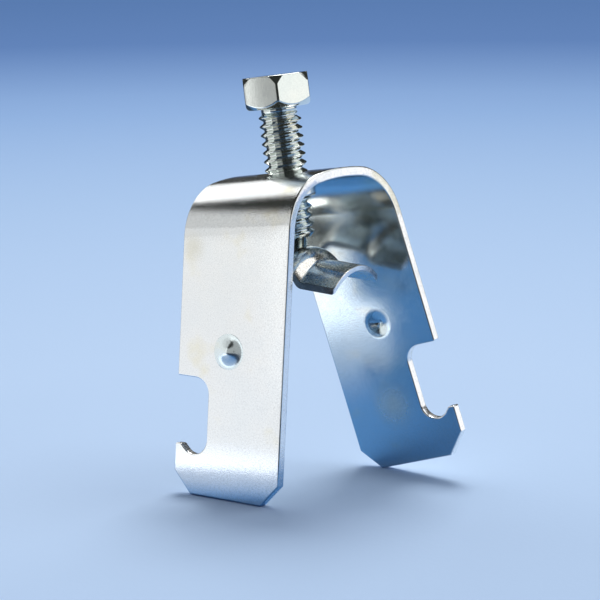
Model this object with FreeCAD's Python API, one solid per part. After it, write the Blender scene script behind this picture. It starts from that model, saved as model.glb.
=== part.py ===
# A twist-in conduit clamp for strut channel: one folded sheet bracket, a hex-head clamping screw with a
# turned-down end, and the pressed saddle that hangs loosely on that end.
#
# Frame: +Z runs up the screw's axis, X runs along the conduit, Y runs across the two arms. Z = 0 is the level
# of the lowest corners of the arms. All sizes are in millimetres.
import FreeCAD, Part
import math
import os

Vector = FreeCAD.Vector

# Bracket: one strip of sheet, folded twice. Lengths named "reach" run along the strip's middle surface from
# the screw's axis, round the bend and down the arm.
sheet_thickness = 1.4
strip_width = 18.65
fold_skew_deg = 8.4         # the strip lies this far from square to the folds, which twists the hooks inwards
arm_splay_deg = 4.85        # each arm springs open by this much from the screw's direction
web_half_length = 4.45      # from the axis to where each bend starts
web_crown_radius = 31.0     # middle surface; the web is pressed slightly round
bend_inner_radius = 6.5
shoulder_reach = 35.6       # top edge of the notch
notch_height = 11.25
notch_depth = 5.6           # from the strip's edge
notch_top_radius = 2.4
notch_bottom_radius = 2.3   # one arc from the notch's inner edge to the slope of the hook
hook_rise = 1.3             # hook tip above the bottom of its notch
hook_slope_deg = 45.0
toe_length = 5.9            # from the bottom of the notch to the end of the arm
toe_chamfer_width = 3.0
toe_chamfer_length = 3.2
edge_corner_radius = 0.25   # tumbled outside corners of the blank

# Stiffening dimple of each arm, pressed outwards from inside.
dimple_reach = 31.25
dimple_offset = 0.4         # from the strip's centreline, towards the hook
dimple_radius = 2.4
dimple_depth = 0.75
bump_spread = 0.15          # radial, by which the raised side is wider than the hollow side

# Extruded and tapped hole in the web, which is drawn down round it.
thread_clearance = 0.05     # radial, between the thread's crests and the hole
hole_lip_chamfer = 0.5
hole_flare_deg = 15.0       # slope of the drawn-down sheet round the hole
hole_sink = 0.3             # how far the web's crown is drawn down at the hole's lip
collar_wall = 0.75
collar_drop = 2.3           # below the underside of the web
collar_rim_chamfer = 0.2

# Screw.
thread_diameter = 6.2
shank_length = 19.05        # underside of the head to the shoulder above the pin
thread_end_chamfer = 0.7
neck_diameter = 5.2
neck_length = 0.8
neck_chamfer = 0.4
head_across_flats = 9.4
head_height = 4.75
head_corner_radius = 0.6    # upright edges of the hexagon
head_seat_diameter = 8.8    # flat circle that the chamfer leaves on the underside
head_seat_chamfer_deg = 48.0
head_crown_diameter = 9.8   # wider than the flats, so the top is chamfered at its corners only
head_crown_chamfer_deg = 70.0
head_corner_bearing_deg = -54.35    # where one corner of the hexagon points, from +X
screw_stand = 9.45          # underside of the head above the top of the web
pin_diameter = 3.3
peened_diameter = 4.4
peened_thickness = 0.5
peened_chamfer = 0.25

# Saddle: a small plate pressed to a shallow arch, with its middle raised over the peened end of the pin.
saddle_thickness = 0.8
saddle_half_length = 10.5
saddle_half_width = 6.5
saddle_crown_radius = 9.6   # outside of the arch
saddle_leg_slope_deg = 36.0
saddle_corner_radius = 0.5
raised_height = 1.5
raised_foot = 4.8           # from the axis to the crease where the raised middle starts
raised_slope_deg = 50.0
raised_foot_radius = 0.6    # inside radius of the fold at the foot of each step
raised_brow_radius = 1.9    # inside radius of the fold at its top
saddle_hole_diameter = 3.95
saddle_hang = 0.95          # from the screw's shoulder down to the top of the saddle
saddle_droop_deg = 12.7     # the loose saddle tips down towards +X
saddle_swivel_deg = 4.0
peened_seat = 1.1           # from the middle of the saddle's sheet down to the top of the peened end

# Worked out from the sizes above.
skew = math.radians(fold_skew_deg)
splay = math.radians(arm_splay_deg)
bend_radius = bend_inner_radius + sheet_thickness / 2
web_angle = web_half_length / web_crown_radius
arm_angle = math.pi / 2 - splay
bend_end_reach = web_half_length + bend_radius * (arm_angle - web_angle)
notch_bottom_reach = shoulder_reach + notch_height
arm_reach = notch_bottom_reach + toe_length
half_width = strip_width / 2
thread_radius = thread_diameter / 2
hole_radius = thread_radius + thread_clearance


def section_point(angle, out):
    """The point (y, z) of the folded section where the sheet's normal leans by angle from +Z, out from its
    middle. Heights here are from the middle of the web."""
    side = -1 if angle < 0 else 1
    lean = abs(angle)
    y = web_crown_radius * math.sin(min(lean, web_angle))
    z = web_crown_radius * (math.cos(min(lean, web_angle)) - 1)
    if lean > web_angle:
        y += bend_radius * (math.sin(lean) - math.sin(web_angle))
        z += bend_radius * (math.cos(lean) - math.cos(web_angle))
    return side * (y + out * math.sin(lean)), z + out * math.cos(lean)


def arm_axes():
    """Origin and directions of the +Y arm: across the strip towards its hook, along the strip, and outwards.
    The origin is where the web's centre would lie with the strip unrolled into the arm's plane."""
    y, z = section_point(arm_angle, 0)
    down = Vector(0, math.sin(splay), -math.cos(splay))
    fold = Vector(1, 0, 0)
    along = fold * math.sin(skew) + down * math.cos(skew)
    across = fold * math.cos(skew) - down * math.sin(skew)
    return Vector(0, y, z) - down * bend_end_reach, across, along, across.cross(along)


def rounding(before, point, after, radius):
    """Start, middle and end of the arc that rounds a corner, and the arc's centre."""
    back = (before - point).normalize()
    ahead = (after - point).normalize()
    half_turn = back.getAngle(ahead) / 2
    trim = radius / math.tan(half_turn)
    bisector = (back + ahead).normalize()
    centre = point + bisector * (radius / math.sin(half_turn))
    return point + back * trim, centre - bisector * radius, point + ahead * trim, centre


def toe_corners():
    """The four corners of the arm's toe in its own plane, from the plain edge to the hook's edge."""
    chamfer_start = arm_reach - toe_chamfer_length
    inset = half_width - toe_chamfer_width
    return [
        Vector(-half_width, chamfer_start, 0),
        Vector(-inset, arm_reach, 0),
        Vector(inset, arm_reach, 0),
        Vector(half_width, chamfer_start, 0),
    ]


def lowest_corner():
    """Height of the arm's lowest point below the middle of the web: the round of its toe's lower corner, on
    the inner face."""
    origin, across, along, outward = arm_axes()
    centre = rounding(*toe_corners()[:3], edge_corner_radius)[3]
    place = origin + across * centre.x + along * centre.y - outward * (sheet_thickness / 2)
    return place.z - edge_corner_radius * math.cos(splay)


web_height = -lowest_corner()
web_top = web_height + sheet_thickness / 2
web_underside = web_height - sheet_thickness / 2
head_underside = web_top + screw_stand
shoulder_height = head_underside - shank_length
saddle_pivot_height = shoulder_height - saddle_hang - saddle_thickness / 2
peened_top = saddle_pivot_height - peened_seat


def rounded_wire(corners, closed):
    """A wire through corners given as (point, radius): straight runs, each corner rounded to its radius."""
    count = len(corners)
    ends = []
    for i, (point, radius) in enumerate(corners):
        if radius == 0 or (not closed and i in (0, count - 1)):
            ends.append((point, point, None))
            continue
        start, middle, end, _ = rounding(corners[i - 1][0], point, corners[(i + 1) % count][0], radius)
        ends.append((start, end, middle))
    edges = []
    for i, (start, end, middle) in enumerate(ends):
        if middle is not None:
            edges.append(Part.Arc(start, middle, end).toShape())
        if closed or i < count - 1:
            following = ends[(i + 1) % count][0]
            if (following - end).Length > 1e-6:
                edges.append(Part.LineSegment(end, following).toShape())
    return Part.Wire(edges)


def revolve_profile(corners):
    """A solid turned about the Z axis from (radius, height) corners."""
    points = [Vector(radius, 0, height) for radius, height in corners]
    return Part.Face(Part.makePolygon(points + points[:1])).revolve(Vector(0, 0, 0), Vector(0, 0, 1), 360)


def dimple_cap(radius):
    """One side of a dimple: a spherical cap above the plane z = 0. The ball's poles and seam stay below that
    plane, which leaves the cap plain."""
    ball = (radius ** 2 + dimple_depth ** 2) / (2 * dimple_depth)
    sphere = Part.makeSphere(ball, Vector(0, 0, dimple_depth - ball), Vector(0, 1, 0))
    above = Part.makeBox(2 * ball, 2 * ball, ball, Vector(-ball, -ball, 0))
    return sphere.common(above)


def folded_top():
    """The web and both bends: the folded section drawn out along the fold, trimmed to the skewed strip."""
    def arc(start, end, out):
        points = [Vector(0, *section_point(angle, out)) for angle in (start, (start + end) / 2, end)]
        return Part.Arc(*points).toShape()

    half = sheet_thickness / 2
    turns = (-arm_angle, -web_angle, web_angle, arm_angle)
    edges = [arc(turns[i], turns[i + 1], half) for i in range(3)]
    edges += [arc(turns[i + 1], turns[i], -half) for i in (2, 1, 0)]
    for angle in (arm_angle, -arm_angle):
        outer, inner = [Vector(0, *section_point(angle, out)) for out in (half, -half)]
        edges.append(Part.LineSegment(outer, inner).toShape())
    fold_half_length = half_width / math.cos(skew) + bend_end_reach * math.tan(skew) + sheet_thickness
    section = Part.Face(Part.Wire(Part.sortEdges(edges)[0]))
    section.translate(Vector(-fold_half_length, 0, 0))
    prism = section.extrude(Vector(2 * fold_half_length, 0, 0))
    return prism.common(skewed_band())


def skewed_band():
    """A thick band that follows the folds and has the strip's two skewed edges as its sides."""
    margin = sheet_thickness / 2 + bend_inner_radius / 4
    across = half_width / math.cos(skew)

    def rectangle(reach, angle, past):
        """The band's section at a reach along the fold's normal; past carries it on down the arm's plane."""
        inner = section_point(angle, -margin)
        outer = section_point(angle, margin)
        sign = -1 if angle < 0 else 1
        run = Vector(0, sign * past * math.sin(splay), -past * math.cos(splay))
        shift = (reach + sign * past) * math.tan(skew)
        corners = [
            Vector(shift - across, *inner) + run,
            Vector(shift + across, *inner) + run,
            Vector(shift + across, *outer) + run,
            Vector(shift - across, *outer) + run,
        ]
        return Part.makePolygon(corners + corners[:1])

    bend_steps = 6
    web_steps = 2
    past = sheet_thickness
    reaches = [-web_half_length + 2 * web_half_length * i / web_steps for i in range(web_steps + 1)]
    web = Part.makeLoft([rectangle(reach, reach / web_crown_radius, 0) for reach in reaches], True, False)
    pieces = []
    for side in (-1, 1):
        sections = []
        for i in range(bend_steps + 1):
            reach = web_half_length + (bend_end_reach - web_half_length) * i / bend_steps
            angle = web_angle + (reach - web_half_length) / bend_radius
            sections.append(rectangle(side * reach, side * angle, 0))
        pieces.append(Part.makeLoft(sections, True, False))
        stub = [rectangle(side * bend_end_reach, side * arm_angle, run) for run in (0, past)]
        pieces.append(Part.makeLoft(stub, True, True))
    return web.fuse(pieces)


def arm():
    """The +Y arm, in its own plane: the blank with the notch, the hook and the cut toe, and the dimple."""
    def point(across, along):
        return Vector(across, along, 0)

    def fold_line(across):
        return (bend_end_reach + across * math.sin(skew)) / math.cos(skew)

    notch_edge = half_width - notch_depth
    hook_tip = notch_bottom_reach - hook_rise
    slope = math.radians(hook_slope_deg)
    seat_width = notch_bottom_radius * (1 + math.tan(slope / 2))
    tip_start = notch_edge + seat_width + hook_rise / math.tan(slope)
    outline = rounded_wire([
        (point(-half_width, fold_line(-half_width)), 0),
        *[(corner, edge_corner_radius) for corner in toe_corners()],
        (point(half_width, hook_tip), edge_corner_radius),
        (point(tip_start, hook_tip), edge_corner_radius),
        (point(notch_edge, notch_bottom_reach + seat_width * math.tan(slope)), notch_bottom_radius),
        (point(notch_edge, shoulder_reach), notch_top_radius),
        (point(half_width, shoulder_reach), edge_corner_radius),
        (point(half_width, fold_line(half_width)), 0),
    ], True)
    plate = Part.Face(outline).extrude(Vector(0, 0, sheet_thickness))
    plate.translate(Vector(0, 0, -sheet_thickness / 2))

    place = Vector(dimple_offset, dimple_reach, 0)
    hollow = dimple_cap(dimple_radius)
    hollow.translate(place - Vector(0, 0, sheet_thickness / 2))
    bump = dimple_cap(dimple_radius + bump_spread)
    bump.translate(place + Vector(0, 0, sheet_thickness / 2))
    plate = plate.fuse(bump).cut(hollow)

    origin, across, along, outward = arm_axes()
    plate.Placement = FreeCAD.Placement(FreeCAD.Matrix(
        across.x, along.x, outward.x, origin.x,
        across.y, along.y, outward.y, origin.y,
        across.z, along.z, outward.z, origin.z,
        0, 0, 0, 1,
    ))
    return plate


def bracket():
    """The folded strip with its extruded hole, standing on the corners of its arms."""
    rear_arm = arm()
    front_arm = rear_arm.copy()
    front_arm.rotate(Vector(0, 0, 0), Vector(0, 0, 1), 180)
    strip = folded_top().fuse([rear_arm, front_arm])
    strip.translate(Vector(0, 0, web_height))

    flare = math.tan(math.radians(hole_flare_deg))
    collar_radius = hole_radius + collar_wall
    collar_bottom = web_underside - collar_drop
    collar_root = web_underside - hole_sink
    collar = revolve_profile([
        (0, web_underside + hole_sink),
        (collar_radius + 2 * hole_sink / flare, web_underside + hole_sink),
        (collar_radius, collar_root),
        (collar_radius, collar_bottom + collar_rim_chamfer),
        (collar_radius - collar_rim_chamfer, collar_bottom),
        (0, collar_bottom),
    ])
    lip_radius = hole_radius + hole_lip_chamfer
    lip_level = web_top - hole_sink
    past_rim = collar_bottom - sheet_thickness
    hole = revolve_profile([
        (0, past_rim),
        (hole_radius, past_rim),
        (hole_radius, lip_level - hole_lip_chamfer),
        (lip_radius, lip_level),
        (lip_radius + 2 * hole_sink / flare, lip_level + 2 * hole_sink),
        (0, lip_level + 2 * hole_sink),
    ])
    return strip.fuse(collar).cut(hole).removeSplitter()


def screw():
    """Hexagon head chamfered on both ends, a short neck, the shank at its thread's crests, the pin and its
    peened end."""
    corner_reach = head_across_flats / math.sqrt(3)
    seat_radius = head_seat_diameter / 2
    crown_radius = head_crown_diameter / 2
    seat_drop = (corner_reach - seat_radius) * math.tan(math.radians(head_seat_chamfer_deg))
    crown_drop = (corner_reach - crown_radius) * math.tan(math.radians(head_crown_chamfer_deg))
    head_top = head_underside + head_height
    head_middle = head_underside + head_height / 2
    bearings = [math.radians(head_corner_bearing_deg + 60 * i) for i in range(6)]
    hexagon = rounded_wire([
        (Vector(corner_reach * math.cos(b), corner_reach * math.sin(b), head_underside), head_corner_radius)
        for b in bearings
    ], True)
    prism = Part.Face(hexagon).extrude(Vector(0, 0, head_height))
    blank = revolve_profile([
        (0, head_underside),
        (seat_radius, head_underside),
        (corner_reach, head_underside + seat_drop),
        (corner_reach, head_top - crown_drop),
        (crown_radius, head_top),
        (0, head_top),
    ])
    neck_radius = neck_diameter / 2
    pin_radius = pin_diameter / 2
    thread_start = head_underside - neck_length
    end_radius = thread_radius - thread_end_chamfer
    peened_bottom = peened_top - peened_thickness
    shank = revolve_profile([
        (0, head_middle),
        (neck_radius, head_middle),
        (neck_radius, thread_start),
        (thread_radius, thread_start - neck_chamfer),
        (thread_radius, shoulder_height + thread_end_chamfer),
        (end_radius, shoulder_height),
        (pin_radius, shoulder_height),
        (pin_radius, peened_top + peened_thickness / 2),
        (peened_diameter / 2, peened_top),
        (peened_diameter / 2, peened_bottom + peened_chamfer),
        (peened_diameter / 2 - peened_chamfer, peened_bottom),
        (0, peened_bottom),
    ])
    return prism.common(blank).fuse(shank).removeSplitter()


def saddle_block(crown_radius, path_drop, corner_shift, low_fold, high_fold):
    """All that lies below one side of the saddle's sheet: the arch carried along x, raised in the middle."""
    slope = math.radians(saddle_leg_slope_deg)
    side = 2 * saddle_half_width
    depth = 2 * saddle_half_width
    arc_y = crown_radius * math.sin(slope)
    arc_z = crown_radius * (math.cos(slope) - 1)
    foot_z = arc_z - (side - arc_y) * math.tan(slope)
    crown = Part.Arc(Vector(0, -arc_y, arc_z), Vector(0, 0, 0), Vector(0, arc_y, arc_z)).toShape()
    below = [(side, foot_z), (side, -depth), (-side, -depth), (-side, foot_z)]
    points = [Vector(0, *place) for place in [(arc_y, arc_z), *below, (-arc_y, arc_z)]]
    runs = [Part.LineSegment(points[i], points[i + 1]).toShape() for i in range(5)]
    profile = Part.Wire([crown] + runs)

    end = saddle_half_length + saddle_thickness
    foot = raised_foot - corner_shift
    brow = foot - raised_height / math.tan(math.radians(raised_slope_deg))
    low = path_drop - raised_height
    path = rounded_wire([
        (Vector(-end, 0, low), 0),
        (Vector(-foot, 0, low), low_fold),
        (Vector(-brow, 0, path_drop), high_fold),
        (Vector(brow, 0, path_drop), high_fold),
        (Vector(foot, 0, low), low_fold),
        (Vector(end, 0, low), 0),
    ], False)
    profile.translate(Vector(-end, 0, low))
    sweep = Part.BRepOffsetAPI.MakePipeShell(path)
    sweep.setTrihedronMode(Vector(0, 0, 0), Vector(1, 0, 0))
    sweep.add(profile)
    sweep.build()
    sweep.makeSolid()
    return Part.Solid(sweep.shape())


def saddle():
    """The saddle, pressed square about its hole and then hung on the pin, tipped and turned as it is loose
    there."""
    thickness = saddle_thickness
    shift = thickness * math.tan(math.radians(raised_slope_deg) / 2)
    top = thickness / 2
    crown = saddle_crown_radius
    outside = saddle_block(crown, top, 0, raised_foot_radius, raised_brow_radius + thickness)
    inside = saddle_block(crown - thickness, -top, shift, raised_foot_radius + thickness, raised_brow_radius)
    depth = 2 * saddle_half_width
    plan = rounded_wire([
        (Vector(x * saddle_half_length, y * saddle_half_width, -depth), saddle_corner_radius)
        for x, y in ((1, 1), (-1, 1), (-1, -1), (1, -1))
    ], True)
    blank = Part.Face(plan).extrude(Vector(0, 0, 2 * depth))
    hole = Part.makeCylinder(saddle_hole_diameter / 2, 2 * depth, Vector(0, 0, -depth))
    plate = outside.cut(inside).common(blank).cut(hole)
    plate.rotate(Vector(0, 0, 0), Vector(0, 1, 0), saddle_droop_deg)
    plate.rotate(Vector(0, 0, 0), Vector(0, 0, 1), saddle_swivel_deg)
    plate.translate(Vector(0, 0, saddle_pivot_height))
    return plate


def main():
    os.makedirs("parts", exist_ok=True)
    for name, build in (("bracket", bracket), ("screw", screw), ("saddle", saddle)):
        shape = build()
        shape.exportStep(f"parts/{name}.step")
        box = shape.BoundBox
        print(f"{name}: {len(shape.Solids)} solid, valid {shape.isValid()}, {shape.Volume:.1f} mm3")
        print(f"  x {box.XMin:.2f} to {box.XMax:.2f}, y {box.YMin:.2f} to {box.YMax:.2f},"
              f" z {box.ZMin:.2f} to {box.ZMax:.2f}")


main()
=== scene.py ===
# %% [markdown]
# # A strut clamp for conduit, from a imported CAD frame
# The object is a clamp of plated sheet steel: one folded strip with twisted-in hooks, a hex-head screw that
# runs in a hole tapped through the fold, and a small pressed saddle that hangs loosely on the screw's end.
# The three solids come from CAD at their real size in metres. This lesson keeps their forms and gives them
# what a solid model lacks: the rounded edges that catch the light, a real helical thread, and a zinc-plated
# finish.

# %% Load the frame
import math

import bmesh
import bpy
from mathutils import Matrix, Vector


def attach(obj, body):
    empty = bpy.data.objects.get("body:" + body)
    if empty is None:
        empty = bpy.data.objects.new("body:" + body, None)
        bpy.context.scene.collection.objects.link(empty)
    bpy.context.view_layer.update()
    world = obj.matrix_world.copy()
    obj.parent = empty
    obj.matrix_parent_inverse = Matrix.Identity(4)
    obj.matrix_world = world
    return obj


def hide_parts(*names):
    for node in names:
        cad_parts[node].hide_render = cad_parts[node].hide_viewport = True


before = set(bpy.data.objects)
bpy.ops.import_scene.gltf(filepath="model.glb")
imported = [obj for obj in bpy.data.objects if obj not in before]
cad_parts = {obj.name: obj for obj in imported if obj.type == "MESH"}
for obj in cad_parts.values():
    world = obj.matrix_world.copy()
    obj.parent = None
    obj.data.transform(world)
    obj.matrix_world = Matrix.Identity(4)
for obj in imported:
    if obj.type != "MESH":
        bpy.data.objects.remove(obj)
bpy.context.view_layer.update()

MM = 0.001
scene = bpy.context.scene
scene.view_settings.view_transform = "Standard"

# %% [markdown]
# ## The camera
# A product photograph of a small part is taken with a long lens from some way off, so the part's edges stay
# nearly parallel. The camera is turned in three steps, as a tripod head is: round the part, then down
# towards it, then tilted sideways. The sideways tilt is there because the part leans on its toes while the
# table is level. Writing the turn as a product of three rotations keeps each step readable.

# %% Camera
CAMERA_PLACE = Vector((225.34, -316.51, 65.37)) * MM
CAMERA_BEARING = math.radians(35.50)
CAMERA_DIP = math.radians(5.536)
CAMERA_ROLL = math.radians(-7.05)
LENS = 160.65
FILM_WIDTH = 36.0
SEEN_FROM = 0.01
SEEN_TO = 10.0

camera_data = bpy.data.cameras.new("camera")
camera_data.lens = LENS
camera_data.sensor_width = FILM_WIDTH
camera_data.clip_start = SEEN_FROM
camera_data.clip_end = SEEN_TO
camera = bpy.data.objects.new("camera", camera_data)
scene.collection.objects.link(camera)
camera.matrix_world = (
    Matrix.Translation(CAMERA_PLACE)
    @ Matrix.Rotation(CAMERA_BEARING, 4, "Z")
    @ Matrix.Rotation(math.pi / 2 - CAMERA_DIP, 4, "X")
    @ Matrix.Rotation(CAMERA_ROLL, 4, "Z")
)
scene.camera = camera
print("camera stands", round(CAMERA_PLACE.length / MM), "mm from the part")

# %% [markdown]
# ## Node helpers
# Every finish here is a small node tree. A helper that adds one node, sets its inputs and returns it keeps
# each material short enough to read as a recipe. A few more helpers stand for the steps that come back
# often: noise, a distance, a value carried from one range to another, and one colour faded into another.

# %% Node helpers
def new_material(name):
    """A material with an empty tree, and its output node."""
    material = bpy.data.materials.new(name)
    material.use_nodes = True
    tree = material.node_tree
    tree.nodes.clear()
    return material, tree, tree.nodes.new("ShaderNodeOutputMaterial")


def node(tree, kind, inputs=None, **settings):
    """Adds a node. An input takes a plain value, or the socket that feeds it."""
    made = tree.nodes.new("ShaderNode" + kind)
    for name, value in settings.items():
        setattr(made, name, value)
    for name, value in (inputs or {}).items():
        if isinstance(value, bpy.types.NodeSocket):
            tree.links.new(value, made.inputs[name])
        else:
            made.inputs[name].default_value = value
    return made


def colour_ramp(tree, factor, stops):
    """A colour ramp fed by a socket; stops are (position, (red, green, blue))."""
    ramp = node(tree, "ValToRGB", {"Fac": factor})
    elements = ramp.color_ramp.elements
    while len(elements) < len(stops):
        elements.new(0.5)
    for element, (position, colour) in zip(elements, stops):
        element.position = position
        element.color = (*colour, 1.0)
    return ramp.outputs["Color"]


def noise(tree, where, per_mm, detail=2.0, roughness=0.5):
    """Noise on the part's own coordinates; per_mm is how many blotches fit in a millimetre."""
    made = node(tree, "TexNoise", {
        "Vector": where, "Scale": per_mm / MM, "Detail": detail, "Roughness": roughness,
    })
    return made.outputs["Fac"]


def distance_to(tree, where, place):
    """How far each point is from a place, in metres."""
    return node(tree, "VectorMath", {0: where, 1: tuple(place)}, operation="DISTANCE").outputs["Value"]


def carried(tree, value, low, high, to_low=0.0, to_high=1.0, **settings):
    """Carries a value from the range low to high over to another range, and stops at both of its ends."""
    made = node(tree, "MapRange", {
        "Value": value, "From Min": low, "From Max": high, "To Min": to_low, "To Max": to_high,
    }, **settings)
    return made.outputs["Result"]


def faded(tree, share, first, second):
    """The first colour faded into the second by a share. A Mix node has sockets for numbers, vectors and
    colours side by side: inputs 6 and 7 and output 2 are those for colours."""
    return node(tree, "Mix", {0: share, 6: first, 7: second}, data_type="RGBA").outputs[2]


# %% [markdown]
# ## The table
# The clamp leans on three low points: both corners of the front toe and one corner of the rear one. Three
# points make a plane, so the table is laid through them, as one round sheet far wider than the picture.

# %% Table
TABLE_TOUCHES = (
    Vector((-13.96, -13.02, 1.83)) * MM,
    Vector((-1.45, -13.18, 0.0)) * MM,
    Vector((1.45, 13.18, 0.0)) * MM,
)
TABLE_RADIUS = 3.0
TABLE_CORNERS = 96

first, second, third = TABLE_TOUCHES
table_up = (second - first).cross(third - first).normalized()
table_centre = sum(TABLE_TOUCHES, Vector()) / 3
table_turn = Vector((0, 0, 1)).rotation_difference(table_up).to_matrix().to_4x4()
studio = Matrix.Translation(table_centre) @ table_turn

bm = bmesh.new()
bmesh.ops.create_circle(bm, cap_ends=True, segments=TABLE_CORNERS, radius=TABLE_RADIUS, matrix=studio)
table_mesh = bpy.data.meshes.new("table")
bm.to_mesh(table_mesh)
bm.free()
table = bpy.data.objects.new("table", table_mesh)
scene.collection.objects.link(table)
lean = math.degrees(table_up.angle(Vector((0, 0, 1))))
print("table leans", round(lean, 2), "degrees from the part's frame")

# %% [markdown]
# ## The blue paper
# The table is covered with pale blue paper that deepens with distance, as painted falloff of the light. The
# blue is a colour ramp over the distance from the part's foot, which is the same from any side. Real paper
# has a pale sheen when it is seen against the light, and its own deeper blue from the other side; here the
# sheen is painted. The camera looks against the light, and so do the cut edges, which mirror the paper
# behind the clamp. The broad faces mirror the paper in front of it, which is a deep blue near the foot and
# nearly dark further out, as painted shade. So the pale tone, a painted sheen, goes to camera rays and to
# the paper behind the clamp, and a painted pool of light in the pale tone lies at the foot of the white
# card on the left. Far from the part, the paper fades into the colour of the backdrop for camera rays, so
# no horizon line shows from a low camera.

# %% Blue paper
PAPER_REACH = 0.9
FAR_TONE = (0.095, 0.20, 0.44)
# The ramp's deepening with distance is painted falloff of the light.
PAPER_TONES_PAINTED_FALLOFF = (
    (0.00, (0.52, 0.68, 0.89)),
    (0.10, (0.50, 0.66, 0.87)),
    (0.30, (0.365, 0.52, 0.74)),
    (0.50, (0.23, 0.375, 0.62)),
    (0.75, FAR_TONE),
)
PAPER_DEPTH = (0.20, 0.46, 0.74)
# Painted shade: mirrored rays see the paper in front dim with distance, down to FRONT_LEAST.
FRONT_LIT = 40 * MM
FRONT_DARK = 75 * MM
FRONT_LEAST = 0.12
# Painted sheen: the paper behind the clamp, along AWAY, keeps the pale tone for all rays.
AWAY = Vector((0.602, 0.799, 0.0))
BEHIND_START = 8 * MM
BEHIND_FULL = 22 * MM
# A painted pool of light at the white card's foot, seen by rays other than the camera's.
PAINTED_POOL = Vector((-42, -46, 4)) * MM
PAINTED_POOL_EDGE = 42 * MM
PAINTED_POOL_FULL = 18 * MM
PAINTED_POOL_GAIN = (1.08, 1.0, 0.96)

paper, tree, out = new_material("blue_paper")
where = node(tree, "TexCoord").outputs["Object"]
away = distance_to(tree, where, table_centre)
pale = colour_ramp(tree, carried(tree, away, 0.0, PAPER_REACH), PAPER_TONES_PAINTED_FALLOFF)
blue = node(tree, "VectorMath", {0: pale, 1: PAPER_DEPTH}, operation="MULTIPLY").outputs["Vector"]
# Painted shade: further out in front, the deep blue is darkened.
painted_dimming = carried(tree, away, FRONT_LIT, FRONT_DARK, 1.0, FRONT_LEAST)
deep = node(tree, "VectorMath", {0: blue, "Scale": painted_dimming}, operation="SCALE").outputs["Vector"]
# Painted pool of light: the paper at the white card's foot is brightened.
painted_pool_share = carried(tree, distance_to(tree, where, PAINTED_POOL), PAINTED_POOL_EDGE, PAINTED_POOL_FULL)
painted_pool_tone = node(tree, "VectorMath", {0: pale, 1: PAINTED_POOL_GAIN}, operation="MULTIPLY").outputs["Vector"]
mirrored = faded(tree, painted_pool_share, deep, painted_pool_tone)
# Painted sheen: the pale tone goes to camera rays and to the paper behind the clamp.
along = node(tree, "VectorMath", {0: where, 1: AWAY}, operation="DOT_PRODUCT").outputs["Value"]
behind = carried(tree, along, BEHIND_START, BEHIND_FULL)
seen = node(tree, "LightPath").outputs["Is Camera Ray"]
painted_sheen = node(tree, "Math", {0: seen, 1: behind}, operation="MAXIMUM").outputs["Value"]
tone = faded(tree, painted_sheen, mirrored, pale)
print("paper tones:", len(PAPER_TONES_PAINTED_FALLOFF), "over", PAPER_REACH, "m")

# %% [markdown]
# The colour is done, and the surface comes next. A slight relief stands for the paper's fibres. The fade
# into the backdrop mixes in plain light of the backdrop's colour. Its share grows with distance, and the
# most that it can reach is the light path's own answer: 1 for a camera ray, and 0 for every other.

# %% Paper surface
FIBRES_PER_MM = 1.1
FIBRE_DEPTH = 0.1 * MM
FIBRE_STRENGTH = 0.25
PAPER_ROUGHNESS = 0.9
FADE_START = 0.5
FADE_END = 1.2

fibres = noise(tree, where, FIBRES_PER_MM, detail=4.0)
relief = node(tree, "Bump", {"Height": fibres, "Strength": FIBRE_STRENGTH, "Distance": FIBRE_DEPTH})
shader = node(tree, "BsdfPrincipled", {
    "Base Color": tone, "Roughness": PAPER_ROUGHNESS, "Normal": relief.outputs["Normal"],
})
glow = node(tree, "Emission", {"Color": (*FAR_TONE, 1.0), "Strength": 1.0})
fade = carried(tree, away, FADE_START, FADE_END, 0.0, seen)
surface = node(tree, "MixShader", {"Fac": fade, 1: shader.outputs["BSDF"], 2: glow.outputs["Emission"]})
tree.links.new(surface.outputs["Shader"], out.inputs["Surface"])
table_mesh.materials.append(paper)
print("paper nodes:", len(tree.nodes))

# %% [markdown]
# ## The studio light
# Bright metal has no colour of its own to show: what is seen on it is the studio. So the lights are laid
# out by what each face of the clamp mirrors. A white card stands on the table close on the left and fills
# the front face down to the foot, where the table shows instead. It is made of three strips, because the
# light on it falls off towards its top. A wide grey card in front is what the face mirrors when it is seen
# straight on. A softbox, higher and further back, draws the bright line over the bend, and the dark gap
# between it and the white card makes the dark band. A tall card and a softbox on the right light the cut
# edges, and a lamp behind throws the soft shadow forwards. All are area lamps that the camera doesn't see.

# %% Light helpers
LAMP_AIM = 30 * MM


def towards(bearing, height):
    """The direction over the table for a bearing, clockwise from the front, and a height, both in degrees."""
    b, h = math.radians(bearing), math.radians(height)
    level = Vector((math.sin(b) * math.cos(h), -math.cos(b) * math.cos(h), math.sin(h)))
    return table_turn.to_3x3() @ level


def softbox(name, bearing, height, distance, width, depth, radiance, colour=(1.0, 1.0, 1.0)):
    """A rectangular lamp that faces the part. Its power follows from how bright its face looks."""
    lamp = bpy.data.lights.new(name, "AREA")
    lamp.shape = "RECTANGLE"
    lamp.size = width
    lamp.size_y = depth
    lamp.energy = radiance * math.pi * width * depth
    lamp.color = colour
    holder = bpy.data.objects.new(name, lamp)
    scene.collection.objects.link(holder)
    aim = towards(bearing, height)
    centre = table_centre + table_up * LAMP_AIM
    turn = aim.to_track_quat("Z", "Y").to_matrix().to_4x4()
    holder.matrix_world = Matrix.Translation(centre + aim * distance) @ turn
    holder.visible_camera = False
    print(f"{name}: {lamp.energy:.3f} W")
    return holder


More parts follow.
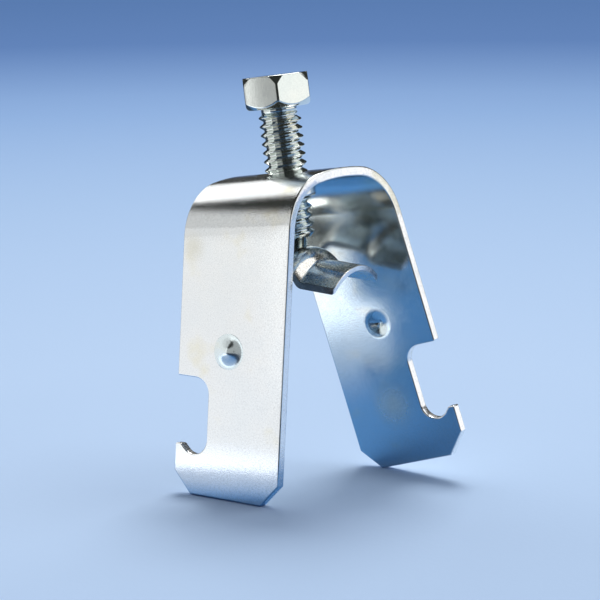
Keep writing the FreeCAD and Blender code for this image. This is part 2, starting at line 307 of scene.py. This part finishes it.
def card(name, bearing, distance, left, right, bottom, top, radiance):
    """An upright card, by its reach to the left and right of the bearing and its bottom and top levels over
    the table. One that reaches under the table is cut off by it. A card so close would glare on the paper at
    its own foot, so it shows in reflections only."""
    holder = softbox(name, bearing, 0, distance, left + right, top - bottom, radiance)
    holder.visible_diffuse = False
    sideways = towards(bearing + 90, 0)
    holder.location += sideways * (right - left) / 2 + table_up * ((top + bottom) / 2 - LAMP_AIM)


# %% [markdown]
# Each lamp is placed by its bearing round the part, in degrees clockwise from the front, and its distance
# in metres. A card also has its reach to both sides and its lower and upper edge over the table. The
# radiance is how bright its face looks, where 1 is white.

# %% Lights
FRONT = {"bearing": -60, "distance": 0.050, "left": 0.025}
WARM = (1.0, 0.985, 0.97)

card("front_card", **FRONT, right=0.0355, bottom=-0.005, top=0.036, radiance=0.99)
card("front_card_middle", **FRONT, right=0.0355, bottom=0.036, top=0.048, radiance=0.83)
card("front_card_top", **FRONT, right=0.0300, bottom=0.048, top=0.0715, radiance=0.66)
card("grey_card", bearing=-10, distance=0.25, left=0.115, right=0.115, bottom=-0.02, top=0.17, radiance=0.46)
softbox("left_softbox", bearing=-115, height=40, distance=0.8, width=0.66, depth=0.42, radiance=1.5)
card("right_card", bearing=119, distance=1.0, left=0.72, right=0.78, bottom=-0.1, top=0.34, radiance=1.16)
softbox("right_softbox", bearing=130, height=50, distance=1.0, width=0.74, depth=0.85, radiance=1.3)
softbox("back_lamp", bearing=205, height=58, distance=1.6, width=0.75, depth=0.75, radiance=8.8, colour=WARM)

# %% [markdown]
# ## The room around
# The world is a nearly black room, which is what the dark bands on the metal mirror. Blue paper all round
# throws a little blue light into the shadows, so rays from dull surfaces find a dim blue. Camera rays get
# the paper's far tone, so the backdrop is a colour and not more light on the metal.

# %% World
ROOM_TONE = (0.030, 0.032, 0.030)
FILL_TONE = (0.17, 0.20, 0.27)

world = bpy.data.worlds.new("studio")
scene.world = world
world.use_nodes = True
tree = world.node_tree
tree.nodes.clear()
room, fill, far = [
    node(tree, "Background", {"Color": (*colour, 1.0), "Strength": 1.0}).outputs["Background"]
    for colour in (ROOM_TONE, FILL_TONE, FAR_TONE)
]
path = node(tree, "LightPath")
dull = node(tree, "MixShader", {"Fac": path.outputs["Is Diffuse Ray"], 1: room, 2: fill})
backdrop = node(tree, "MixShader", {"Fac": path.outputs["Is Camera Ray"], 1: dull.outputs["Shader"], 2: far})
node(tree, "OutputWorld", {"Surface": backdrop.outputs["Shader"]})
print("room, fill and backdrop:", ROOM_TONE, FILL_TONE, FAR_TONE)

# %% [markdown]
# ## The zinc finish
# Electroplated zinc over rolled sheet is nearly a mirror, but not a clean one. Under it are the sheet's
# fine grain, which makes reflections sparkle, and a slow waviness from the rolling and the barrel. So the
# shader is a plain metal whose roughness and normal come from noise at those two scales, in the part's own
# coordinates. A second, broad reflection comes in specks, as a faint haze on the plating does. Where the
# sheet is bent it opens up like an orange's peel, so the grain is deeper above the arms. The colour drifts
# towards straw where the passivation pools, and two straw stains with a dull surface have a place of their
# own.

# %% Zinc
DRIFT_PER_MM = 0.16
SPECKS_PER_MM = 6.0
CLOUDS_PER_MM = 0.5
WAVES_PER_MM = 0.22
HAZE_PER_MM = 4.0
HAZE_ROUGHNESS = 0.55
HAZE_NOISE = (0.42, 0.68)
GLOSS_NOISE = (0.7, 1.3)
LEAST_ROUGH = 0.6
MOST_ROUGH = 1.5
STRAW = (0.78, 0.77, 0.68)
BEND_START = 40.0 * MM
BEND_END = 41.5 * MM
STAIN_TINT = (0.80, 0.76, 0.60)
STAIN_MOST = 0.5


def zinc(name, rough, grain, wave, haze, tints, bend_grain=1.0, stains=()):
    """Plated zinc. rough is the roughness of its sharp reflection, and haze the most of a second, broad one
    that comes in specks. grain and wave are the depths of the fine and the slow relief, in millimetres. tints
    are two colours that it drifts between. bend_grain is how many times deeper the grain is where the sheet
    is bent. stains are (place, radius) in millimetres."""
    material, tree, out = new_material(name)
    where = node(tree, "TexCoord").outputs["Object"]
    drift = noise(tree, where, DRIFT_PER_MM, detail=3.0)
    tint = colour_ramp(tree, drift, ((0.40, tints[0]), (0.60, tints[1]), (0.72, STRAW)))
    speck = noise(tree, where, SPECKS_PER_MM, detail=2.0, roughness=0.6)
    cloud = noise(tree, where, CLOUDS_PER_MM, detail=4.0, roughness=0.6)
    both = node(tree, "Math", {0: speck, 1: cloud}, operation="ADD").outputs["Value"]
    gloss = carried(tree, both, *GLOSS_NOISE, rough * LEAST_ROUGH, rough * MOST_ROUGH)
    swell = noise(tree, where, WAVES_PER_MM, detail=1.0)
    slow = node(tree, "Bump", {"Height": swell, "Strength": 1.0, "Distance": wave * MM})
    level = node(tree, "SeparateXYZ", {"Vector": where}).outputs["Z"]
    depth = carried(tree, level, BEND_START, BEND_END, grain * MM, grain * bend_grain * MM)
    fine = node(tree, "Bump", {
        "Height": speck, "Strength": 1.0, "Distance": depth, "Normal": slow.outputs["Normal"],
    })
    share = carried(tree, noise(tree, where, HAZE_PER_MM), *HAZE_NOISE, 0.0, haze)
    for place, radius in stains:
        off = distance_to(tree, where, Vector(place) * MM)
        stain = carried(tree, off, radius * MM, 0.0, 0.0, STAIN_MOST, interpolation_type="SMOOTHSTEP")
        share = node(tree, "Math", {0: share, 1: stain}, operation="ADD", use_clamp=True).outputs["Value"]
        tint = faded(tree, stain, tint, (*STAIN_TINT, 1.0))
    sharp, broad = [
        node(tree, "BsdfPrincipled", {
            "Base Color": tint, "Metallic": 1.0, "Roughness": roughness, "Normal": fine.outputs["Normal"],
        }).outputs["BSDF"]
        for roughness in (gloss, HAZE_ROUGHNESS)
    ]
    blend = node(tree, "MixShader", {"Fac": share, 1: sharp, 2: broad})
    tree.links.new(blend.outputs["Shader"], out.inputs["Surface"])
    return material


# %% [markdown]
# One recipe serves all pieces. The outside of the sheet is the brightest. The inside of the fold is a little
# rougher, and its darker, bluer tint is painted shade for the dim light inside the fold. The cut edges are
# paler and rougher. The screw is smooth and slightly green, and the saddle has the most haze and a warmer
# colour. The saddle's sheared long sides are dull, and their near-black tint is painted shade.

# %% Finishes
STAINS = (((5.4, 12.2, 9.8), 4.6), ((-9.9, -11.9, 37.6), 3.0))

zinc_sheet = zinc(
    "zinc_sheet", rough=0.07, grain=0.004, wave=0.005, haze=0.12,
    tints=((0.78, 0.81, 0.82), (0.80, 0.82, 0.82)), bend_grain=5.5, stains=STAINS,
)
# The inside of the fold: rougher, with a darker, bluer tint that is painted shade.
zinc_inside_painted_shade = zinc(
    "zinc_sheet_inside_painted_shade", rough=0.13, grain=0.008, wave=0.002, haze=0.10,
    tints=((0.66, 0.75, 0.78), (0.68, 0.75, 0.76)), bend_grain=2.5, stains=STAINS,
)
zinc_cut = zinc(
    "zinc_cut_edge", rough=0.22, grain=0.003, wave=0.0, haze=0.2,
    tints=((0.92, 0.93, 0.94), (0.94, 0.94, 0.94)),
)
# The saddle's sheared long sides: rough, with a near-black tint that is painted shade.
zinc_sheared_painted_shade = zinc(
    "zinc_sheared_side_painted_shade", rough=0.30, grain=0.004, wave=0.0, haze=0.3,
    tints=((0.15, 0.16, 0.17), (0.20, 0.21, 0.21)),
)
zinc_screw = zinc(
    "zinc_screw", rough=0.08, grain=0.004, wave=0.01, haze=0.06,
    tints=((0.72, 0.77, 0.74), (0.77, 0.80, 0.76)),
)
zinc_saddle = zinc(
    "zinc_saddle", rough=0.10, grain=0.008, wave=0.02, haze=0.45,
    tints=((0.83, 0.82, 0.77), (0.86, 0.84, 0.79)),
)
finishes = (zinc_sheet, zinc_inside_painted_shade, zinc_cut, zinc_sheared_painted_shade, zinc_screw, zinc_saddle)
print("finishes:", [finish.name for finish in finishes])

# %% [markdown]
# ## Dressing a pressed sheet
# The bracket and the saddle are already the right shape, so each is a merged copy of its CAD mesh. What
# they lack is the small round on every edge, which barrel plating leaves and which draws the bright
# outlines. Flat areas are first joined into single faces, because a bevel slides along stray diagonals
# otherwise. Then the sharp edges are bevelled, and normals weighted by face area keep the flats flat.

# %% Sheet helpers
SHARP = math.radians(24)
COPLANAR = math.radians(0.6)
COARSE_WELD = 0.002 * MM
FLAT_WEIGHT = 80


def merged_copy(node_name):
    """A bmesh of a CAD node, with its loose triangles welded and its flat areas joined."""
    bm = bmesh.new()
    bm.from_mesh(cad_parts[node_name].data)
    bmesh.ops.remove_doubles(bm, verts=bm.verts, dist=COARSE_WELD)
    bmesh.ops.dissolve_limit(
        bm, angle_limit=COPLANAR, verts=bm.verts, edges=bm.edges, use_dissolve_boundaries=False,
    )
    return bm


def sharp_edges(bm, least=SHARP):
    """Edges whose two faces meet at more than an angle."""
    return [e for e in bm.edges if len(e.link_faces) == 2 and e.calc_face_angle(0.0) > least]


def round_edges(bm, edges, width, segments):
    """Rounds edges by a width in millimetres, and gives back the new faces."""
    made = bmesh.ops.bevel(
        bm, geom=edges, offset=width * MM, offset_type="OFFSET", affect="EDGES", segments=segments,
        profile=0.5, material=-1, clamp_overlap=False, loop_slide=False,
    )
    return made["faces"]


def finish_piece(bm, name, body, materials):
    """Turns a bmesh into a smooth piece of the clamp that rides on a CAD body."""
    mesh = bpy.data.meshes.new(name)
    bm.to_mesh(mesh)
    bm.free()
    mesh.shade_smooth()
    for material in materials:
        mesh.materials.append(material)
    piece = bpy.data.objects.new(name, mesh)
    scene.collection.objects.link(piece)
    weighted = piece.modifiers.new("even_normals", "WEIGHTED_NORMAL")
    weighted.mode = "FACE_AREA"
    weighted.weight = FLAT_WEIGHT
    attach(piece, body)
    print(f"{name}: {len(mesh.vertices)} vertices, {len(mesh.polygons)} faces")
    return piece


# %% [markdown]
# ## The dimples
# A round punch has pressed one dimple outwards in each arm. It is a hollow on the inside of the sheet and a
# swelling on the outside, and both run out softly into the flat. The CAD mesh has a faceted cap in each
# place. It could be smoothed, but turning a new one from a short section gives an even bell shape, so the
# caps are cut out and turned ones are bridged in. On the inside, the nose of the punch has left a smaller
# bell in the middle.

# %% Dimple helpers
WELD = 0.0005 * MM
HALF_TURN = Matrix.Rotation(math.pi, 3, "Z")
DIMPLE_PLACE = Vector((4.961, 11.994, 22.218)) * MM
DIMPLE_OUT = Vector((0, 0.99642, 0.08455))
DIMPLE_DEPTH = 0.75
DIMPLE_REACH = 3.4 * MM
DIMPLE_RINGS = 26
DIMPLE_STEPS = 64
NOSE_REACH = 0.9
ROLLED_RIM = 0.1
RIM_GAP = 0.02


def near_dimple(point):
    """Whether a point is close to the dimple of either arm."""
    return min((point - place).length for place in (DIMPLE_PLACE, HALF_TURN @ DIMPLE_PLACE)) < DIMPLE_REACH


def bell(radius, reach):
    """A round swelling, 1 at its middle and level with the flat at its reach."""
    return max(0.0, 1 - (radius / reach) ** 2) ** 3


def dimple_profile(rim, nose):
    """The section of one side of a dimple as (radius, height). nose is the share left by the punch's nose."""
    reach = rim + ROLLED_RIM
    radii = [reach * (1 - i / DIMPLE_RINGS) for i in range(DIMPLE_RINGS + 1)]
    return [
        (radius, DIMPLE_DEPTH * ((1 - nose) * bell(radius, reach) + nose * bell(radius, NOSE_REACH)))
        for radius in radii
    ]


def press_dimple(bm, place, out, level, rim, nose):
    """Swaps the faceted cap on one face of the sheet for a turned one with a rolled rim."""
    turn = out.to_track_quat("Z", "X").to_matrix()
    centre = place + out * level * MM

    def spot(point):
        """A point in millimetres from the dimple's centre, with the height as z."""
        return turn.transposed() @ (point - centre) / MM

    def on_cap(point):
        """Whether a point is part of the faceted cap."""
        there = spot(point)
        return there.xy.length < rim + RIM_GAP and -RIM_GAP < there.z < DIMPLE_DEPTH + RIM_GAP

    section = dimple_profile(rim, nose)
    cap = [f for f in bm.faces if all(on_cap(v.co) for v in f.verts)]
    loop = {e for f in cap for e in f.edges if any(other not in cap for other in e.link_faces)}
    bmesh.ops.delete(bm, geom=cap, context="FACES")
    for vert in {v for e in loop for v in e.verts}:
        here = spot(vert.co)
        here.xy = here.xy.normalized() * (section[0][0] + RIM_GAP)
        vert.co = centre + turn @ here * MM
    verts = [bm.verts.new(centre + turn @ Vector((radius, 0, height)) * MM) for radius, height in section]
    edges = [bm.edges.new(pair) for pair in zip(verts, verts[1:])]
    before = set(bm.faces)
    bmesh.ops.spin(
        bm, geom=verts + edges, cent=centre, axis=out, angle=2 * math.pi, steps=DIMPLE_STEPS, use_merge=True,
    )
    made = [f for f in bm.faces if f not in before]
    bmesh.ops.remove_doubles(bm, verts=list({v for f in made for v in f.verts}), dist=WELD)
    rim_edges = [e for e in bm.edges if e.is_boundary and (e.verts[0].co - centre).length < DIMPLE_REACH]
    bmesh.ops.bridge_loops(bm, edges=rim_edges)
    print(f"  dimple side: {len(cap)} facets swapped for {len(made)}, {len(loop)} edges in its rim")


# %% [markdown]
# The second arm is the first one turned by half a turn about the screw, so one loop serves both. Each face
# of the sheet lies 0.7 mm from its middle, and the dimple is a little wider on the outside.

# %% Dimples
DIMPLE_SIDES = (
    {"level": -0.7, "rim": 2.40, "nose": 0.30},
    {"level": 0.7, "rim": 2.55, "nose": 0.0},
)

bracket_bm = merged_copy("bracket")
for half in (Matrix.Identity(3), HALF_TURN):
    for side in DIMPLE_SIDES:
        press_dimple(bracket_bm, half @ DIMPLE_PLACE, half @ DIMPLE_OUT, **side)
bmesh.ops.recalc_face_normals(bracket_bm, faces=bracket_bm.faces)

# %% [markdown]
# ## The bracket
# The fold runs along X, so no broad side of the sheet faces even partly along X, on the flats or in the
# bends. Every cut edge does. That makes the cut edges easy to pick out for their own, rougher finish. Faces
# near the tapped hole and the dimples lean along X too, so those places are left out. What is left faces
# either out of the fold or into it. The rounded edges take the bright finish of the outside.

# %% Bracket
OUTSIDE, CUT_EDGE, INSIDE = 0, 1, 2
CUT_LEAN = 0.05
HOLE_REACH = 6.0 * MM
HOLE_LEVEL = 38 * MM
BEND_LEVEL = 37 * MM


def near_hole(point):
    """Whether a point is on the tapped hole, its collar or the sheet around them."""
    return Vector((point.x, point.y)).length < HOLE_REACH and point.z > HOLE_LEVEL


# Faces into the fold take the inside finish, whose darker tint is painted shade.
for face in bracket_bm.faces:
    middle = face.calc_center_median()
    outwards = Vector((0, middle.y, max(0.0, middle.z - BEND_LEVEL)))
    if abs(face.normal.x) > CUT_LEAN and not near_dimple(middle) and not near_hole(middle):
        face.material_index = CUT_EDGE
    elif face.normal.dot(outwards) > 0:
        face.material_index = OUTSIDE
    else:
        face.material_index = INSIDE
outline = [e for e in sharp_edges(bracket_bm) if not near_dimple(e.verts[0].co)]
for face in round_edges(bracket_bm, outline, width=0.2, segments=4):
    face.material_index = OUTSIDE
print("bracket:", sum(not e.is_manifold for e in bracket_bm.edges), "open edges")
bracket = finish_piece(
    bracket_bm, "clamp_bracket", "bracket", [zinc_sheet, zinc_cut, zinc_inside_painted_shade],
)
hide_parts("bracket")

# %% [markdown]
# ## The saddle
# The saddle is a pressed piece too, and is treated the same way. Its sheet is thinner, so its edges are
# rounded less. Turning each face's middle back into the saddle's own square shows which faces are cut:
# those at the two curved ends are bright, and those along the two sheared long sides are dull, with a
# near-black tint that is painted shade.

# %% Saddle
BROAD, CURVED_END, SHEARED_SIDE = 0, 1, 2
SADDLE_PIVOT = Vector((0, 0, 35.484))
SADDLE_SQUARE = Matrix.Rotation(math.radians(4), 3, "Z") @ Matrix.Rotation(math.radians(12.7), 3, "Y")
SADDLE_END = 10.5
SADDLE_SIDE = 6.5
END_MARGIN = 0.2
SIDE_MARGIN = 0.06
SADDLE_SHARP = math.radians(40)

saddle_bm = merged_copy("saddle")
# The sheared long sides get a near-black tint: painted shade.
for face in saddle_bm.faces:
    middle = SADDLE_SQUARE.transposed() @ (face.calc_center_median() / MM - SADDLE_PIVOT)
    if abs(middle.x) > SADDLE_END - END_MARGIN:
        face.material_index = CURVED_END
    elif abs(middle.y) > SADDLE_SIDE - SIDE_MARGIN:
        face.material_index = SHEARED_SIDE
    else:
        face.material_index = BROAD
round_edges(saddle_bm, sharp_edges(saddle_bm, SADDLE_SHARP), width=0.09, segments=3)
saddle = finish_piece(
    saddle_bm, "clamp_saddle", "saddle", [zinc_saddle, zinc_cut, zinc_sheared_painted_shade],
)
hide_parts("saddle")

# %% [markdown]
# ## The screw
# The screw is made anew, because a screw's round and helical forms want an even mesh that the CAD triangles
# don't have. It is built of closed shells that reach a little into each other: the head, the neck, the
# thread and the pin. Three helpers do the work of a lathe and a saw: one turns a section, one saws off what
# lies beyond a plane, and one adds a finished shell to the whole.

# %% Screw helpers
def turned(bm, corners, steps, bearing=0.0):
    """Turns a chain of (radius, height) corners once about the screw's axis, from a bearing in degrees."""
    verts = [bm.verts.new(Vector((radius, 0, height)) * MM) for radius, height in corners]
    edges = [bm.edges.new(pair) for pair in zip(verts, verts[1:])]
    bmesh.ops.rotate(bm, cent=(0, 0, 0), matrix=Matrix.Rotation(math.radians(bearing), 3, "Z"), verts=verts)
    bmesh.ops.spin(
        bm, geom=verts + edges, cent=(0, 0, 0), axis=(0, 0, 1), angle=2 * math.pi, steps=steps,
        use_merge=True,
    )
    bmesh.ops.remove_doubles(bm, verts=bm.verts, dist=WELD)


def sawn_off(bm, place, outwards):
    """Cuts off what lies beyond a plane, and closes the cut with a face."""
    cut = bmesh.ops.bisect_plane(
        bm, geom=bm.verts[:] + bm.edges[:] + bm.faces[:], dist=0.0001 * MM,
        plane_co=place, plane_no=outwards, clear_outer=True,
    )
    rim = [e for e in cut["geom_cut"] if isinstance(e, bmesh.types.BMEdge)]
    bmesh.ops.holes_fill(bm, edges=rim, sides=0)


def join_shell(whole, shell):
    """Adds a closed shell, facing outwards, to the whole."""
    bmesh.ops.remove_doubles(shell, verts=shell.verts, dist=WELD)
    bmesh.ops.recalc_face_normals(shell, faces=shell.faces)
    open_edges = [e for e in shell.edges if not e.is_manifold]
    print("  shell:", len(shell.faces), "faces,", len(open_edges), "open edges")
    mesh = bpy.data.meshes.new("shell")
    shell.to_mesh(mesh)
    shell.free()
    whole.from_mesh(mesh)
    bpy.data.meshes.remove(mesh)


screw_bm = bmesh.new()

# %% [markdown]
# ## The screw's head
# The chamfers of a real bolt head are cones, and its six flats cut them in curved lines. So the head is
# turned first, cones and all, and its flats are sawn after, which draws those curves without any further
# work. The bevel of the edges lifts a few points a hair over the top, so they are set back to its level.

# %% Screw head
HEAD_UNDERSIDE = 55.884
HEAD_TOP = 60.634
HEAD_FLAT = 9.4 / 2
HEAD_CORNER = 5.334
HEAD_SEAT = 8.8 / 2
HEAD_CROWN = 9.8 / 2
SEAT_DROP = (HEAD_CORNER - HEAD_SEAT) * math.tan(math.radians(48))
CROWN_DROP = (HEAD_CORNER - HEAD_CROWN) * math.tan(math.radians(70))
HEAD_BEARING = -54.35
HEAD_STEPS = 144
HEAD_SHARP = math.radians(14)

head = bmesh.new()
turned(head, [
    (0, HEAD_UNDERSIDE),
    (HEAD_SEAT, HEAD_UNDERSIDE),
    (HEAD_CORNER, HEAD_UNDERSIDE + SEAT_DROP),
    (HEAD_CORNER, HEAD_TOP - CROWN_DROP),
    (HEAD_CROWN, HEAD_TOP),
    (0, HEAD_TOP),
], HEAD_STEPS, HEAD_BEARING)
for side in range(6):
    bearing = math.radians(HEAD_BEARING + 30 + 60 * side)
    outwards = Vector((math.cos(bearing), math.sin(bearing), 0))
    sawn_off(head, outwards * HEAD_FLAT * MM, outwards)
round_edges(head, sharp_edges(head, HEAD_SHARP), width=0.14, segments=4)
for vert in head.verts:
    vert.co.z = min(vert.co.z, HEAD_TOP * MM)
join_shell(screw_bm, head)

# %% [markdown]
# ## The thread
# A thread is a profile carried round and up at once. Blender's spin operator does just that when it is
# given a step along the axis, so one pitch of the profile, spun for enough turns, is the whole thread. Its
# crest and root are rounded before the spin, where that takes four corners only.

# %% Screw thread
PITCH = 1.27
THREAD_CREST = 6.2 / 2
THREAD_ROOT = 2.47
ROOT_HALF = 0.12
CREST_HALF = 0.10
CORNER_ROUND = 0.09
CREST_HEIGHT = 46.33
CREST_BEARING = 34.8
TURNS_BELOW = 10
TURNS = 19
STEPS_PER_TURN = 48

thread = bmesh.new()
start = CREST_HEIGHT - TURNS_BELOW * PITCH
half_pitch = PITCH / 2
profile = [
    (THREAD_ROOT, start - half_pitch),
    (THREAD_ROOT, start - half_pitch + ROOT_HALF),
    (THREAD_CREST, start - CREST_HALF),
    (THREAD_CREST, start + CREST_HALF),
    (THREAD_ROOT, start + half_pitch - ROOT_HALF),
    (THREAD_ROOT, start + half_pitch),
]
verts = [thread.verts.new(Vector((radius, 0, height)) * MM) for radius, height in profile]
for pair in zip(verts, verts[1:]):
    thread.edges.new(pair)
bmesh.ops.bevel(
    thread, geom=verts[1:5], offset=CORNER_ROUND * MM, affect="VERTICES", segments=3, profile=0.5,
    material=-1,
)
bmesh.ops.rotate(
    thread, cent=(0, 0, 0), matrix=Matrix.Rotation(math.radians(CREST_BEARING), 3, "Z"), verts=thread.verts,
)
bmesh.ops.spin(
    thread, geom=thread.verts[:] + thread.edges[:], cent=(0, 0, 0), axis=(0, 0, 1), angle=2 * math.pi * TURNS,
    steps=STEPS_PER_TURN * TURNS, dvec=(0, 0, PITCH * MM / STEPS_PER_TURN),
)
bmesh.ops.remove_doubles(thread, verts=thread.verts, dist=COARSE_WELD)
print("thread:", TURNS, "turns,", len(thread.faces), "faces")

# %% [markdown]
# The spun thread starts and ends in mid-air. Both of its ends are sawn square. The crests near them are
# then turned down to the cones that the CAD solid has there: each point outside its cone is drawn in to it.

# %% Thread ends
NECK = 5.2 / 2
SHOULDER = 36.834
THREAD_START = 55.084
NECK_CHAMFER = 0.4
END_CHAMFER = 0.7

for level, upwards in ((SHOULDER, -1), (THREAD_START, 1)):
    sawn_off(thread, (0, 0, level * MM), (0, 0, upwards))
for vert in thread.verts:
    height = vert.co.z / MM
    reach = Vector((vert.co.x, vert.co.y)).length / MM
    limit = min(
        THREAD_CREST - END_CHAMFER + (height - SHOULDER),
        NECK + (THREAD_START - height) * (THREAD_CREST - NECK) / NECK_CHAMFER,
    )
    if reach > limit:
        vert.co.x *= limit / reach
        vert.co.y *= limit / reach
join_shell(screw_bm, thread)

# %% [markdown]
# ## The neck, the pin and its peened end
# Under the head the blank is left plain as a short neck. At the other end the screw is turned down to a pin
# that passes through the saddle, and the pin's end is peened: hammered out to a small flat button that
# keeps the saddle on. Both are plain turned sections.

# %% Screw neck, pin and peened end
PIN = 3.3 / 2
PEENED = 4.4 / 2
PEENED_TOP = 34.384
PEENED_BOTTOM = PEENED_TOP - 0.5
BUTTON_ROUND = 0.25
BUTTON_DROP = 0.03
OVERLAP = 0.3
NECK_OVERLAP = 0.03
PIN_STEPS = 72

neck = bmesh.new()
turned(neck, [
    (0, HEAD_UNDERSIDE + OVERLAP),
    (NECK, HEAD_UNDERSIDE + OVERLAP),
    (NECK, THREAD_START - NECK_OVERLAP),
    (0, THREAD_START - NECK_OVERLAP),
], PIN_STEPS)
join_shell(screw_bm, neck)
pin = bmesh.new()
turned(pin, [
    (0, SHOULDER + OVERLAP),
    (PIN, SHOULDER + OVERLAP),
    (PIN, PEENED_TOP),
    (PEENED, PEENED_TOP - BUTTON_DROP),
    (PEENED, PEENED_BOTTOM + BUTTON_ROUND),
    (PEENED - BUTTON_ROUND, PEENED_BOTTOM),
    (0, PEENED_BOTTOM),
], PIN_STEPS)
join_shell(screw_bm, pin)
screw = finish_piece(screw_bm, "clamp_screw", "screw", [zinc_screw])
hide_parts("screw")
